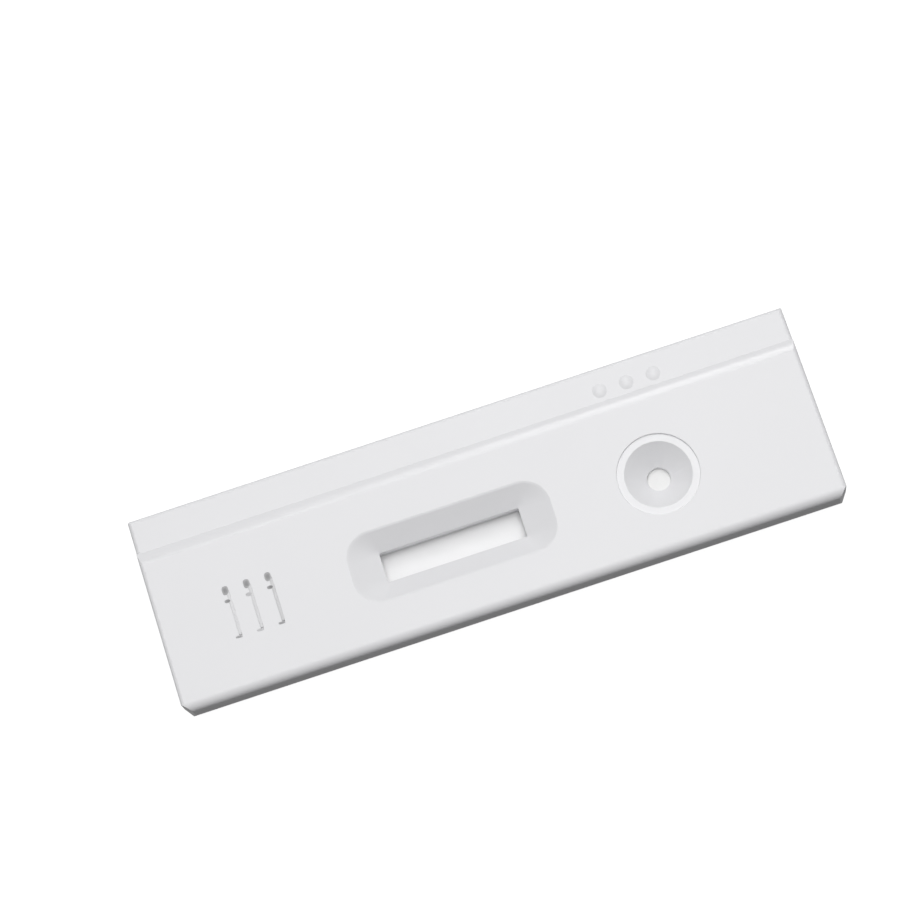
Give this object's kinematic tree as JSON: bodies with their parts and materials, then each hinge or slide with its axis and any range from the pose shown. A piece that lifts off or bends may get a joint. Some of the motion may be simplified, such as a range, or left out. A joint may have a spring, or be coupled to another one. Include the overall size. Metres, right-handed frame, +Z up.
{
  "type": "lateral flow cassette",
  "caption": "Flat white rectangular test cassette with a sunken result window, a round sample well with a flat ring round its mouth and a lower finger band along one side.",
  "frame": {"origin": "middle of the base, on the surface it lies on", "axes": "+X along the cassette towards the sample well, +Y across it towards the lower finger band, +Z up"},
  "size_m": [0.07, 0.0208, 0.005],
  "materials": {
    "shell_plastic": "satin moulded, fine spark texture",
    "card_plastic": "smooth sheet",
    "membrane_sheet": "matt, very fine pores",
    "glass_fibre": "matt, felted fibres",
    "pad_paper": "matt, felted fibres",
    "blotting_paper": "matt, soft and thick",
    "print_ink": "thin printed film"
  },
  "bodies": {
    "root": {"top_shell": "shell_plastic", "bottom_shell": "shell_plastic", "backing_card": "card_plastic", "membrane": "membrane_sheet", "conjugate_pad": "glass_fibre", "sample_pad": "pad_paper", "absorbent_pad": "blotting_paper", "index_marks": "print_ink"}
  },
  "joints": []
}
